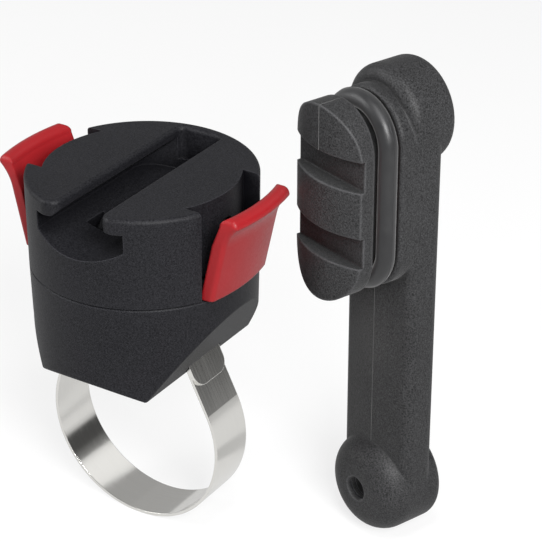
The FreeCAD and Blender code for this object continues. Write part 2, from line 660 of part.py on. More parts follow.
def bar():
    """Straight bar between the bosses: flat back, crowned front, rounded long edges."""
    half_t, w, z = BAR_T / 2, BAR_HALF_W, LOWER_BOLT_Z
    outline = [line(V(-w, half_t, z), V(w, half_t, z)), line(V(w, half_t, z), V(w, -half_t, z)),
               arc(V(w, -half_t, z), V(0, BAR_FRONT_Y, z), V(-w, -half_t, z)),
               line(V(-w, -half_t, z), V(-w, half_t, z))]
    solid = prism(outline, V(0, 0, BOLT_PITCH))
    long_edges = edges_where(solid, lambda e: e.BoundBox.ZLength > BOLT_PITCH / 2)
    return solid.makeFillet(BAR_EDGE_R, long_edges)


def tongue_head(back_y):
    """Oblong head of the tongue: a flat slab with a crowned front and two cross grooves."""
    front_y = back_y - TONGUE_EDGE_T
    crest_y = front_y - CROWN_H
    half_len = TONGUE_STRAIGHT / 2 + TONGUE_R
    low_z = TONGUE_Z - half_len
    r = TONGUE_R
    left, right = V(-r, back_y, low_z), V(r, back_y, low_z)
    left_front, right_front = V(-r, front_y, low_z), V(r, front_y, low_z)
    outline = [line(left, right), line(right, right_front),
               arc(right_front, V(0, crest_y, low_z), left_front), line(left_front, left)]
    crowned = prism(outline, V(0, 0, 2 * half_len))
    head = crowned.common(stadium(r, TONGUE_STRAIGHT, TONGUE_Z, crest_y, back_y))
    for z in (TONGUE_Z - LATCH_Y, TONGUE_Z + LATCH_Y):
        low, high = z - GROOVE_W / 2, z + GROOVE_W / 2
        head = head.cut(box(-2 * r, 2 * r, crest_y - CUT_PAST, front_y + GROOVE_SINK, low, high))
    return head


def flange():
    """Oblong pad on the bar's front that backs the rubber ring."""
    pad = stadium(FLANGE_R, TONGUE_STRAIGHT, TONGUE_Z, FLANGE_Y, 0)
    rim = edges_where(pad, lambda e: abs(e.CenterOfMass.y - FLANGE_Y) < PIN_FIT)
    return pad.makeFillet(FLANGE_EDGE_R, rim)


def cage_arm():
    """One moulding: bar, two bolt bosses, flange, ring seat, neck and tongue."""
    neck_end = FLANGE_Y - NECK_H
    lower_boss = boss(LOWER_BOLT_Z, BAR_FRONT_Y - BOSS_FRONT_H, BOSS_FRONT_EDGE_R)
    upper_boss = boss(UPPER_BOLT_Z, BAR_FRONT_Y, BAR_EDGE_R)
    seat = stadium(RING_SEAT_R, TONGUE_STRAIGHT, TONGUE_Z, FLANGE_Y - RING_SEAT_H, 0)
    neck = stadium(NECK_R, TONGUE_STRAIGHT, TONGUE_Z, neck_end - TONGUE_EDGE_T / 2, 0)
    body = fuse([bar(), lower_boss, upper_boss, flange(), seat, neck, tongue_head(neck_end)])
    back_y = BOSS_BACK_Y + CUT_PAST
    front_y = BAR_FRONT_Y - BOSS_FRONT_H - CUT_PAST
    through = rod(BOLT_R, V(0, back_y, LOWER_BOLT_Z), V(0, front_y, LOWER_BOLT_Z))
    blind = rod(BOLT_R, V(0, back_y, UPPER_BOLT_Z), V(0, BOSS_BACK_Y - UPPER_HOLE_DEPTH, UPPER_BOLT_Z))
    return body.cut(through).cut(blind)


def rubber_ring():
    """Oblong ring of round section, seated round the tongue's neck against the flange."""
    radius = RING_SEAT_R + RING_FIT + RING_D / 2
    half = TONGUE_STRAIGHT / 2
    centre = V(radius, FLANGE_Y - RING_D / 2, 0)
    section = Part.Face(Part.Wire(Part.makeCircle(RING_D / 2, centre, V(0, 0, 1))))
    side = section.extrude(V(0, 0, TONGUE_STRAIGHT))
    side.translate(V(0, 0, TONGUE_Z - half))
    bends = []
    for way in (1, -1):
        bend = section.revolve(V(0, 0, 0), V(0, 1, 0), -way * 180)
        bend.translate(V(0, 0, TONGUE_Z + way * half))
        bends.append(bend)
    return fuse(both(side) + bends)


def stood_beside(shape):
    """Turns the arm as it stands and puts it down beside the socket."""
    shape.rotate(V(0, 0, 0), V(0, 0, 1), ARM_TURN_DEG)
    shape.translate(V(ARM_X, ARM_Y, FLOOR_Z))
    return shape


def main():
    nodes = {
        "socket_housing": socket_housing(),
        "clamp_base": clamp_base(),
        "steel_strap": strap(),
        "right_loop_pin": loop_pin(),
        "left_loop_pin": mirrored(loop_pin()),
        "tension_yoke": yoke(),
        "tension_screw": tension_screw(),
        "case_screws": case_screws(),
        "right_button": button(-LATCH_Y),
        "left_button": mirrored(button(LATCH_Y)),
        "right_pivot_pin": pivot_pin(),
        "left_pivot_pin": mirrored(pivot_pin()),
        "right_button_spring": button_spring(),
        "left_button_spring": mirrored(button_spring()),
        "cage_arm": stood_beside(cage_arm()),
        "rubber_ring": stood_beside(rubber_ring()),
    }
    os.makedirs("parts", exist_ok=True)
    for name, shape in nodes.items():
        shape.exportStep(f"parts/{name}.step")
        print(name, len(shape.Solids), "solid", shape.isValid(), round(shape.Volume, 1), "mm3")


main()
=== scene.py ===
# %% [markdown]
# # Bottle cage adapter
# A round socket that a steel strap holds on a tube, and beside it the arm that slides into the
# socket and carries a bottle cage. The rigid shapes come ready made. This lesson gives every
# surface its finish, adds moulding lines, threads and springs, and sets up the studio.

# %% Load the solid parts
import json
import math

import bmesh
import bpy
from mathutils import Matrix, Vector


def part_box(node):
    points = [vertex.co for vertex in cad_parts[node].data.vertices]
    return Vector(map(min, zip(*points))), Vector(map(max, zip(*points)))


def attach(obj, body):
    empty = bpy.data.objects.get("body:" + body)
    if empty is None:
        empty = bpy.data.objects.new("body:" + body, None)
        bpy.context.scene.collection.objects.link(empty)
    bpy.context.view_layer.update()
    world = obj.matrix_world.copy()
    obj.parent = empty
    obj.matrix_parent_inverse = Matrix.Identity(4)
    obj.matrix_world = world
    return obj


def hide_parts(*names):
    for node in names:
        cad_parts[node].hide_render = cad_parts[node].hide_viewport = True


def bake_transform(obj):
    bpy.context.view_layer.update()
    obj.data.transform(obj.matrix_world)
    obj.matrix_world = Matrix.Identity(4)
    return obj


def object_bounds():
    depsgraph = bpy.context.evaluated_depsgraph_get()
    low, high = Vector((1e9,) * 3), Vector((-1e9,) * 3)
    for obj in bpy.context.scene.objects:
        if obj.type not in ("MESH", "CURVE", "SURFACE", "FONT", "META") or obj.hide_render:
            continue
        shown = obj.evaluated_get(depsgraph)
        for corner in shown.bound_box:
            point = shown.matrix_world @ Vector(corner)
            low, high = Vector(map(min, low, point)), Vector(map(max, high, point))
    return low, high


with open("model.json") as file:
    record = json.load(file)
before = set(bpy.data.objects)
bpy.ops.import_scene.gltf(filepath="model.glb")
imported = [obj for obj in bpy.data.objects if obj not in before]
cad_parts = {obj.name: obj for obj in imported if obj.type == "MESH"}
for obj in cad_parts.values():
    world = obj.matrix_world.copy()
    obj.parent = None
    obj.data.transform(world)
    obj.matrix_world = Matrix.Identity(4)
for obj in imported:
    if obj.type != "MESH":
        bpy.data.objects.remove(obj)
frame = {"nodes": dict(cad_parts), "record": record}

MM = 0.001
nodes = frame["nodes"]
scene = bpy.context.scene
cad_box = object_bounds()


def in_mm(box):
    return [[round(v / MM, 1) for v in corner] for corner in box]


print("parts:", len(nodes), "box in mm:", in_mm(cad_box))

# %% [markdown]
# ## Camera
# The picture looks down on the socket from its right front. A camera is easiest to place by where
# it stands, measured round the socket's top, and then by the way it is turned. A long lens keeps
# the arm's sides nearly upright, as the picture shows them.

# %% Place the camera
TOP_Z = 44.8 * MM                    # height of the socket's top
STAND = 340 * MM                     # from the middle of that top to the camera
AROUND, ABOVE = math.radians(36.1), math.radians(25.5)    # where the camera stands
TURN, DOWN = math.radians(3.68), math.radians(28.2)       # how it is turned there
PICTURE = 542                        # width of the picture in pixels
FOCAL_PX = 2218                      # focal length in pixels
SENSOR = 36                          # width of the sensor, in millimetres


def direction(around, above):
    """Unit vector at an angle around the socket from its front, and at an angle above the floor."""
    level = math.cos(above)
    return Vector((level * math.sin(around), -level * math.cos(around), math.sin(above)))


lens = bpy.data.cameras.new("photo_camera")
lens.sensor_width = SENSOR
lens.lens = FOCAL_PX * SENSOR / PICTURE
lens.clip_start, lens.clip_end = 0.01, 20    # metres
camera = bpy.data.objects.new("photo_camera", lens)
camera.location = Vector((0, 0, TOP_Z)) + STAND * direction(AROUND, ABOVE)
camera.rotation_mode = "QUATERNION"
camera.rotation_quaternion = (-direction(AROUND - TURN, DOWN)).to_track_quat("-Z", "Y")
scene.collection.objects.link(camera)
scene.camera = camera
print("camera at", [round(v / MM) for v in camera.location], "mm, lens", round(lens.lens, 1), "mm")

# %% [markdown]
# ## Small helpers for materials
# Every finish below is a short chain of nodes. One helper adds a node and fills its inputs, where
# an input may be a plain value or the output of another node. The texture space is always Object
# coordinates, which are metres here, so a noise scale of 3000 makes grains of a third of a
# millimetre.

# %% Node helpers
def add(tree, kind, settings=None, **inputs):
    """A new node with its settings and inputs filled."""
    node = tree.nodes.new(kind)
    for key, value in (settings or {}).items():
        setattr(node, key, value)
    for key, value in inputs.items():
        fill(tree, node, key, value)
    return node


def fill(tree, node, key, value):
    """Links an output to an input, or sets a value; i3 is input number 3, other keys are names."""
    name = int(key[1:]) if key[0] == "i" and key[1:].isdigit() else key.replace("_", " ")
    socket = node.inputs[name]
    if isinstance(value, bpy.types.NodeSocket):
        tree.links.new(value, socket)
    else:
        socket.default_value = value


def new_finish(name, **constants):
    """A finish with its tree, its shader with constants set on it, and the object's own space."""
    finish = bpy.data.materials.new(name)
    finish.use_nodes = True
    tree = finish.node_tree
    shader = tree.nodes["Principled BSDF"]
    for key, value in constants.items():
        fill(tree, shader, key, value)
    space = add(tree, "ShaderNodeTexCoord").outputs["Object"]
    return finish, tree, shader, space


print("node helpers ready")

# %% [markdown]
# ## Words for finishes
# A few more helpers name what a finish is made of: noise, a range, a sum, a colour between two
# others, dents, edges painted lighter as rubbing and painted highlight, and hollows darkened with
# painted shade. Noise seldom leaves the middle of its range, so that middle is what gets stretched.

# %% Finish helpers
NOISE_RANGE = (0.3, 0.7)
EDGE_RANGE = (0.88, 0.995)           # likeness of the rounded and the flat normal, edge to face
HOLLOW_RANGE = (0.35, 0.92)          # share of open sky, groove to open face


def speckle(tree, space, scale, detail=2.0, rough=0.5):
    """Seamless noise between 0 and 1."""
    return add(tree, "ShaderNodeTexNoise", Vector=space, Scale=scale, Detail=detail,
               Roughness=rough).outputs["Fac"]


def span(tree, value, low, high, start=0.0, end=1.0):
    """Value from start..end stretched to low..high."""
    return add(tree, "ShaderNodeMapRange", Value=value, From_Min=start, From_Max=end, To_Min=low,
               To_Max=high).outputs["Result"]


def sums(tree, operation, *values):
    """Result of one sum on values and outputs."""
    inputs = {f"i{place}": value for place, value in enumerate(values)}
    return add(tree, "ShaderNodeMath", {"operation": operation}, **inputs).outputs[0]


def two_tone(tree, amount, dark, light):
    """Colour between two others, each given as three numbers or as an output."""
    first, second = (tone if isinstance(tone, bpy.types.NodeSocket) else (*tone, 1)
                     for tone in (dark, light))
    mix = add(tree, "ShaderNodeMix", {"data_type": "RGBA"}, i0=amount, i6=first, i7=second)
    return mix.outputs[2]


def dents(tree, shader, height, depth, **under):
    """Bumps of a depth on the shader, on top of another normal where one is given."""
    bumps = add(tree, "ShaderNodeBump", Strength=1.0, Distance=depth, Height=height, **under)
    fill(tree, shader, "Normal", bumps.outputs["Normal"])


def soft_edges(tree, radius):
    """Normal that runs round sharp edges, and a mask that is 1 on them."""
    rounded = add(tree, "ShaderNodeBevel", {"samples": 6}, Radius=radius).outputs["Normal"]
    flat = add(tree, "ShaderNodeNewGeometry").outputs["Normal"]
    alike = add(tree, "ShaderNodeVectorMath", {"operation": "DOT_PRODUCT"}, i0=rounded, i1=flat)
    return rounded, span(tree, alike.outputs["Value"], 1.0, 0.0, *EDGE_RANGE)


def hollows(tree, reach, only_local):
    """1 on open faces, falling to 0 deep in grooves, of the same part or between two parts."""
    settings = {"samples": 8, "only_local": only_local}
    open_sky = add(tree, "ShaderNodeAmbientOcclusion", settings, Distance=reach)
    return span(tree, open_sky.outputs["AO"], 0.0, 1.0, *HOLLOW_RANGE)


print("finish helpers ready")

# %% [markdown]
# ## Moulded black plastic
# Socket, base and arm are glass-filled plastic from a spark-eroded mould. Close up the skin is a
# field of tiny dimples that glint one by one. Two noises make it: a coarse one for the dimples, and
# a fine one that changes shine and tone. Corners that are touched often are painted a little
# lighter, partly as rubbing and partly as a painted highlight, which the bevel node can find without
# any change to the mesh. Grooves, slots and the seam between two parts get no rubbing and are
# darkened with painted shade, which the ambient occlusion node finds in the same way.

# %% Grained plastic finishes
FINER = 2.6                          # how much finer the second noise is
CLOUDS, CLOUD_SHARE = 70, 0.3        # scale and weight of the slow drift in tone
SPOT_RANGE = (-0.15, 0.85)           # tone in the dimples and between them
RUB_HIGHLIGHT_RANGE = (0.1, 0.6)               # lighter paint on the edges, as rubbing and painted highlight, which is patchy
SHINE_DRIFT = 0.16                   # how far the roughness varies
SEAM_REACH, GROOVE_REACH = 0.5 * MM, 4 * MM    # how far away a wall still casts painted shade on a face


def grained(name, dark, light, grain, depth, gloss, dull, edge, rub_highlight_factor):
    """Black moulded plastic; grain is the dimples' size. Edges are painted lighter by the last
    factor, as rubbing and as a painted highlight, and hollows get painted shade.
    """
    finish, tree, shader, space = new_finish(name, Specular_IOR_Level=gloss)
    dimples = speckle(tree, space, scale=1 / grain, detail=3.0, rough=0.62)
    fine = speckle(tree, space, scale=FINER / grain, detail=1.0)
    cloud = speckle(tree, space, scale=CLOUDS)
    spots = span(tree, dimples, *SPOT_RANGE, *NOISE_RANGE)
    skin = two_tone(tree, sums(tree, "MULTIPLY_ADD", cloud, CLOUD_SHARE, spots), dark, light)
    rounded, edges = soft_edges(tree, edge)
    # 0 in the seam between parts: no rubbing there, and painted shade
    seam = hollows(tree, SEAM_REACH, False)
    # Edges painted lighter in patches: partly rubbing, partly a painted highlight
    edge_rub_and_highlight = sums(tree, "MULTIPLY", edges, span(tree, fine, *RUB_HIGHLIGHT_RANGE))
    rub_and_highlight_mask = sums(tree, "MULTIPLY", edge_rub_and_highlight, seam)
    outside = two_tone(tree, rub_and_highlight_mask, skin, [rub_highlight_factor * v for v in light])
    # Painted shade: grooves, slots and seams are coloured towards the dark tone
    clear_of_painted_shade = sums(tree, "MINIMUM", hollows(tree, GROOVE_REACH, True), seam)
    fill(tree, shader, "Base_Color", two_tone(tree, clear_of_painted_shade, dark, outside))
    fill(tree, shader, "Roughness", span(tree, fine, dull, dull + SHINE_DRIFT, *NOISE_RANGE))
    dents(tree, shader, dimples, depth, Normal=rounded)
    print("made", name)
    return finish


socket_skin = grained("socket_fine_grain", dark=(0.002, 0.002, 0.003), light=(0.019, 0.019, 0.022),
                      grain=0.23 * MM, depth=0.038 * MM, gloss=0.15, dull=0.42,
                      edge=0.28 * MM, rub_highlight_factor=3.0)
arm_skin = grained("arm_coarse_grain", dark=(0.004, 0.004, 0.004), light=(0.050, 0.050, 0.052),
                   grain=0.23 * MM, depth=0.050 * MM, gloss=0.17, dull=0.38,
                   edge=0.60 * MM, rub_highlight_factor=3.0)
# The flash line is lighter grey than the arm: a painted highlight for the light the thin bead
# catches
flash_highlight_skin = grained("arm_flash_line_highlight", dark=(0.05, 0.05, 0.05), light=(0.10, 0.10, 0.10),
                     grain=0.20 * MM, depth=0.010 * MM, gloss=0.15, dull=0.40,
                     edge=0.05 * MM, rub_highlight_factor=1.0)

# %% [markdown]
# ## Red thumb buttons
# The two buttons are smooth satin plastic in a strong red. A perfectly even red looks like a paint
# swatch, so the colour drifts slightly, the skin has the faint waviness of a moulded part, and the
# edges where thumbs press are a touch shinier. The latch behind each plate, inside the housing, is
# coloured black: the object's own X tells plate and latch apart.

# %% Red plastic
LATCH_ENDS = 15.7 * MM               # from the middle of the socket to the back of a thumb plate
LATCH_BLUR = 0.15 * MM               # half the width of the change from black to red
LATCH_BLACK = (0.012, 0.012, 0.013)
RED_DEEP, RED_PALE = (0.220, 0.0065, 0.009), (0.290, 0.011, 0.0145)
RED_SATIN = (0.36, 0.46)             # roughness of the plates
PRESSED_SHINE = -0.06                # change of roughness where thumbs press


def thumb_red():
    finish, tree, shader, space = new_finish("thumb_red", Specular_IOR_Level=0.24,
                                             Coat_Weight=0.04, Coat_Roughness=0.25)
    drift = speckle(tree, space, scale=160, detail=3.0)
    peel = speckle(tree, space, scale=2400)
    red = two_tone(tree, drift, RED_DEEP, RED_PALE)
    across = add(tree, "ShaderNodeSeparateXYZ", Vector=space).outputs["X"]
    plate = span(tree, sums(tree, "ABSOLUTE", across), 0.0, 1.0,
                 LATCH_ENDS - LATCH_BLUR, LATCH_ENDS + LATCH_BLUR)
    fill(tree, shader, "Base_Color", two_tone(tree, plate, LATCH_BLACK, red))
    rounded, touched = soft_edges(tree, radius=0.45 * MM)
    satin = span(tree, peel, *RED_SATIN, *NOISE_RANGE)
    fill(tree, shader, "Roughness", sums(tree, "MULTIPLY_ADD", touched, PRESSED_SHINE, satin))
    dents(tree, shader, peel, depth=0.0035 * MM, Normal=rounded)
    return finish


button_red = thumb_red()
print("made", button_red.name)

# %% [markdown]
# ## Polished strap
# The strap is a band of stainless steel, rolled and polished along its length. Polishing leaves
# hair lines that follow the band, so the noise is squeezed across the width (Y) and stretched round
# the ring. They widen each reflection a little in one direction, which is what makes sheet metal
# look like sheet metal. The small pins get the same finish, darker and duller.

# %% Strap steel
LINE_DRIFT = 60                      # changes of a hair line in a metre of its length
SMEAR = 0.04                         # roughness that handling adds


def rolled_steel(name, dark, light, rough, across):
    """Bright steel with hair lines; across is the number of lines in a metre of width."""
    finish, tree, shader, space = new_finish(name, Metallic=1.0)
    stretched = add(tree, "ShaderNodeMapping", Vector=space, Scale=(LINE_DRIFT, across, LINE_DRIFT))
    lines = speckle(tree, stretched.outputs["Vector"], scale=1.0, detail=3.0, rough=0.6)
    smear = speckle(tree, space, scale=140)
    fill(tree, shader, "Base_Color", two_tone(tree, lines, dark, light))
    brushed = span(tree, lines, *rough, *NOISE_RANGE)
    fill(tree, shader, "Roughness", sums(tree, "MULTIPLY_ADD", smear, SMEAR, brushed))
    rounded = soft_edges(tree, radius=0.12 * MM)[0]
    dents(tree, shader, lines, depth=0.0005 * MM, Normal=rounded)
    print("made", name)
    return finish


strap_steel = rolled_steel("strap_steel", dark=(0.74, 0.73, 0.70), light=(0.83, 0.82, 0.79),
                           rough=(0.08, 0.14), across=5000)
pin_steel = rolled_steel("pin_steel", dark=(0.38, 0.38, 0.39), light=(0.52, 0.52, 0.53),
                         rough=(0.22, 0.36), across=2500)

# %% [markdown]
# ## Rubber ring
# The ring round the tongue's neck is soft black rubber. It is smoother than the plastic beside it,
# with a broad dim highlight, so it has no grain at all: only a fine bloom that changes its shine,
# and a slight unevenness of the surface.

# %% Rubber
RUBBER_BLACK, RUBBER_BLOOM = (0.010, 0.010, 0.011), (0.024, 0.024, 0.025)
RUBBER_DULL = (0.34, 0.50)           # roughness of the ring


def soft_rubber():
    finish, tree, shader, space = new_finish("ring_rubber", Specular_IOR_Level=0.38,
                                             Sheen_Weight=0.08, Sheen_Roughness=0.5)
    bloom = speckle(tree, space, scale=420, detail=3.0)
    pores = speckle(tree, space, scale=5200, detail=1.0)
    fill(tree, shader, "Base_Color", two_tone(tree, bloom, RUBBER_BLACK, RUBBER_BLOOM))
    fill(tree, shader, "Roughness", span(tree, bloom, *RUBBER_DULL, *NOISE_RANGE))
    dents(tree, shader, pores, depth=0.003 * MM)
    return finish


ring_rubber = soft_rubber()
print("made", ring_rubber.name)

# %% [markdown]
# ## Give each part its finish
# A part's object already carries a plain material. Writing a new one into every slot changes how it
# looks and leaves its mesh alone. Parts that aren't named here are the small steel ones inside.

# %% Assign the finishes
finish_of = {"socket_housing": socket_skin, "clamp_base": socket_skin, "steel_strap": strap_steel,
             "right_button": button_red, "left_button": button_red, "cage_arm": arm_skin,
             "rubber_ring": ring_rubber}
for name, part in nodes.items():
    finish = finish_of.get(name, pin_steel)
    for place in part.material_slots:
        place.material = finish
    print(name, "gets", finish.name)

# %% [markdown]
# ## Moulding lines
# Where the two halves of a mould meet, a hair-thin raised line stays on the part. Drawing it by hand
# would never sit exactly on the surface, so a copy of the part is sliced with a plane, the cut gives
# the path, and Geometry Nodes lay a thin round bead along it. The copy's loose triangles are welded
# first, because a path needs points that are shared.

# %% Slice a part to get a path
WELD = 0.002 * MM                    # corners nearer than this are one
CUT_SLACK = 0.001 * MM               # corners nearer to the plane than this lie on it


def slice_path(node, point, normal, keep):
    """Mesh of loose edges where a plane cuts a part, with only the edges that keep allows."""
    bm = bmesh.new()
    bm.from_mesh(nodes[node].data)
    bmesh.ops.remove_doubles(bm, verts=bm.verts, dist=WELD)
    cut = bmesh.ops.bisect_plane(bm, geom=bm.verts[:] + bm.edges[:] + bm.faces[:], dist=CUT_SLACK,
                                 plane_co=point, plane_no=normal)
    lines = [e for e in cut["geom_cut"] if isinstance(e, bmesh.types.BMEdge)]
    ends, pairs = {}, []
    for line in lines:
        if keep((line.verts[0].co + line.verts[1].co) / 2):
            pairs.append([ends.setdefault(end, len(ends)) for end in line.verts])
    path = bpy.data.meshes.new(node + "_path")
    path.from_pydata([end.co.copy() for end in ends], pairs, [])
    bm.free()
    print(node, "path of", len(pairs), "edges")
    return path


print("slicer ready")

# %% [markdown]
# ## The arm's line
# On the arm the line shows down the middle of the bar and on the tongue's upper block, and was
# dressed off elsewhere. The mount of the lower cage bolt says where the arm stands and which way its
# back faces, so the slicing plane needs no numbers of its own.

# %% Path of the arm's line
BOSS_TOP = 1.5 * MM                  # height where the lower boss ends
UPPER_BLOCK = 54.5 * MM              # height where the tongue's upper block begins
TONGUE_AHEAD = 8 * MM                # what lies further forward than this is the tongue
bolts = {mount["name"]: mount for mount in frame["record"]["mounts"]}
arm_foot = Vector(bolts["lower_cage_bolt"]["pos_m"])
arm_back = Vector(bolts["lower_cage_bolt"]["axis"])
arm_side = arm_back.cross(Vector((0, 0, 1))).normalized()
ring_low, ring_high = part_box("rubber_ring")


def line_shows(middle):
    """True on the bar's front between boss and ring, and on the tongue's upper block."""
    forward = (arm_foot - middle).dot(arm_back)
    on_bar = forward > 0 and BOSS_TOP < middle.z < ring_low.z
    return on_bar or (forward > TONGUE_AHEAD and middle.z > UPPER_BLOCK)


arm_path = slice_path("cage_arm", arm_foot, arm_side, line_shows)

# %% [markdown]
# ## Geometry Nodes helpers
# Each tree below sweeps a small round profile along a path, makes the result real and gives it a
# finish. Two helpers hold what the trees share, and a third runs a tree and keeps what it made as an
# ordinary mesh.

# %% Tree helpers
def new_tree(name, numbers=(), counts=()):
    """A tree with named inputs for its sizes, and the outputs of the node that hands them in."""
    tree = bpy.data.node_groups.new(name, "GeometryNodeTree")
    kinds = {"Geometry": "NodeSocketGeometry", **dict.fromkeys(numbers, "NodeSocketFloat"),
             **dict.fromkeys(counts, "NodeSocketInt"), "Finish": "NodeSocketMaterial"}
    for label, kind in kinds.items():
        tree.interface.new_socket(label, in_out="INPUT", socket_type=kind)
    tree.interface.new_socket("Geometry", in_out="OUTPUT", socket_type="NodeSocketGeometry")
    return tree, tree.nodes.new("NodeGroupInput").outputs


def sweep_to_end(tree, given, path, profile):
    """Sweeps the profile along the path and ends the tree."""
    sweep = add(tree, "GeometryNodeCurveToMesh", Curve=path.outputs["Curve"],
                Profile_Curve=profile.outputs["Curve"], Fill_Caps=True)
    real = add(tree, "GeometryNodeRealizeInstances", Geometry=sweep.outputs["Mesh"])
    dressed = add(tree, "GeometryNodeSetMaterial", Geometry=real.outputs["Geometry"],
                  Material=given["Finish"])
    end = tree.nodes.new("NodeGroupOutput")
    tree.links.new(dressed.outputs["Geometry"], end.inputs["Geometry"])
    print("tree", tree.name, "with", len(tree.nodes), "nodes")
    return tree


def plain_mesh(name, mesh, tree, values):
    """Runs a tree on a mesh and keeps the result as an ordinary mesh object."""
    piece = bpy.data.objects.new(name, mesh)
    scene.collection.objects.link(piece)
    modifier = piece.modifiers.new("shape", "NODES")
    modifier.node_group = tree
    for item in tree.interface.items_tree:
        if item.in_out == "INPUT" and item.name in values:
            modifier[item.identifier] = values[item.name]
    made = piece.evaluated_get(bpy.context.evaluated_depsgraph_get())
    solid = bpy.data.meshes.new_from_object(made)
    piece.modifiers.clear()
    piece.data = solid
    solid.name = name
    print(name, len(solid.polygons), "faces")
    return piece


print("tree helpers ready")

# %% [markdown]
# ## The bead
# One small tree serves every moulding line. It turns the path's edges into curves and sweeps a small
# circle along them. The bead's middle lies on the surface, so half of it shows.

# %% Bead along the arm
BEAD_SIDES = 6


def bead_tree():
    tree, given = new_tree("bead_along_path", numbers=("Bead radius",))
    path = add(tree, "GeometryNodeMeshToCurve", i0=given["Geometry"])
    ring = add(tree, "GeometryNodeCurvePrimitiveCircle", Resolution=BEAD_SIDES,
               Radius=given["Bead radius"])
    return sweep_to_end(tree, given, path, ring)


bead = bead_tree()
arm_line = plain_mesh("arm_moulding_line", arm_path, bead,
                      {"Bead radius": 0.07 * MM, "Finish": flash_highlight_skin})
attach(arm_line, "socket")

# %% [markdown]
# ## Flash line on the rubber ring
# The ring comes from a two-part mould as well. Its line runs round the outside, so the slicing plane
# lies flat through the ring's middle, and only the outer loop is kept.

# %% Ring line
OUTER_SIDE = 5.6 * MM                # the outer loop lies further from the middle than this
OUTER_END = 2.2 * MM                 # or nearer than this to the ring's top or foot
ring_middle = (ring_low + ring_high) / 2
half_height = (ring_high.z - ring_low.z) / 2


def on_the_outside(middle):
    off = middle - ring_middle
    return abs(off.dot(arm_side)) > OUTER_SIDE or abs(off.z) > half_height - OUTER_END


ring_path = slice_path("rubber_ring", ring_middle, arm_back, on_the_outside)
ring_line = plain_mesh("ring_flash_line", ring_path, bead,
                       {"Bead radius": 0.05 * MM, "Finish": ring_rubber})
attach(ring_line, "socket")

# %% [markdown]
# ## Threads and springs
# A thread and a coil spring are the same thing to a modeller: a small profile swept along a spiral.
# One tree makes both. The inputs say how many turns it has, how long and wide it is, how thick the
# wire is and how many sides its profile has: four for a thread's ridge, ten for a round wire.

# %% Coil tree
TURN_STEPS = 28                      # points in each turn of a coil


def coil_tree():
    tree, given = new_tree("coil", numbers=("Turns", "Length", "Coil radius", "Wire radius"),
                           counts=("Sides",))
    spiral = add(tree, "GeometryNodeCurveSpiral", Resolution=TURN_STEPS, Rotations=given["Turns"],
                 Height=given["Length"], Start_Radius=given["Coil radius"],
                 End_Radius=given["Coil radius"])
    wire = add(tree, "GeometryNodeCurvePrimitiveCircle", Resolution=given["Sides"],
               Radius=given["Wire radius"])
    return sweep_to_end(tree, given, spiral, wire)


def coil_between(name, start, end, **sizes):
    """A coil whose middle line runs from start to end."""
    values = {key.replace("_", " "): value for key, value in sizes.items()}
    values["Length"] = (end - start).length
    piece = plain_mesh(name, bpy.data.meshes.new(name), coils, values)
    stand = (end - start).to_track_quat("Z", "Y").to_matrix().to_4x4()
    piece.data.transform(Matrix.Translation(start) @ stand)
    return piece


coils = coil_tree()

# %% [markdown]
# ## Threads for the cage bolts
# The cage's two bolts screw into the arm from behind. The ridge's root lies inside the wall of the
# hole, and its crest stands out by a tenth of a millimetre. Hole and axis are read from the frame.

# %% Put a thread in each hole
THREAD_PITCH = 0.8 * MM
THREAD_RIDGE = 0.16 * MM
THREAD_SIDES = 4
threads = []
for name in ("lower_cage_bolt", "upper_cage_bolt"):
    middle, axis = Vector(bolts[name]["pos_m"]), Vector(bolts[name]["axis"])
    hole = bolts[name]["dims"]
    half = axis * (hole["length_mm"] / 2 * MM - THREAD_PITCH)
    thread = coil_between(name + "_thread", middle - half, middle + half,
                          Turns=2 * half.length / THREAD_PITCH, Coil_radius=hole["r_mm"] * MM,
                          Wire_radius=THREAD_RIDGE, Sides=THREAD_SIDES, Finish=socket_skin)
    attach(thread, "socket")
    threads.append(thread)

# %% [markdown]
# ## Springs behind the thumb plates
# A small coil spring pushes each thumb plate out again. Its inner end sits in a bore of the socket,
# its outer end at the plate. Each coil is swept at its resting length, between the ends of the
# part's own spring, which is hidden; a rigid spring like this would be cut by the plate when a
# button is pressed.

# %% Springs behind the plates
SPRING_WIRE = 0.28 * MM
SPRING_SIDES = 10
SPRING_TURNS = 4.5
for side, node in (("right", "right_button_spring"), ("left", "left_button_spring")):
    low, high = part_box(node)
    inner, outer = (low.x, high.x) if side == "right" else (high.x, low.x)
    wire = math.copysign(SPRING_WIRE, inner)
    seat = Vector((inner + wire, (low.y + high.y) / 2, (low.z + high.z) / 2))
    cap = Vector((outer - wire, seat.y, seat.z))
    spring = coil_between(side + "_spring_coil", seat, cap, Turns=SPRING_TURNS,
                          Coil_radius=(high.z - low.z) / 2 - SPRING_WIRE, Wire_radius=SPRING_WIRE,
                          Sides=SPRING_SIDES, Finish=pin_steel)
    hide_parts(node)
    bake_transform(spring)

# %% [markdown]
# ## Floor
# The object stands on a plain pale floor. What the camera sees of it is kept white by a shader that
# knows the kind of ray, so no extra light falls on the object, and the floor still shows a soft
# shadow. The strap mirrors the floor as white paper, a little darker than the camera sees it.

# %% Floor
MIRROR_WHITE = 0.72                  # the paper as polished metal shows it
PAPER_LIT, PAPER_SEEN = (0.45, 0.45, 0.45), (0.82, 0.82, 0.82)    # to other faces, to the camera
PAPER_GLOW = 0.78                    # share of what is seen that no shadow darkens
FLOOR_HALF = 3.0                     # metres from its middle to each side


def ray_kinds(tree):
    """Two outputs: 1 for what the camera sees directly, and 1 for what it sees in a mirror."""
    kind = add(tree, "ShaderNodeLightPath").outputs
    mirrored = sums(tree, "MAXIMUM", kind["Is Glossy Ray"], kind["Is Transmission Ray"])
    return kind["Is Camera Ray"], mirrored


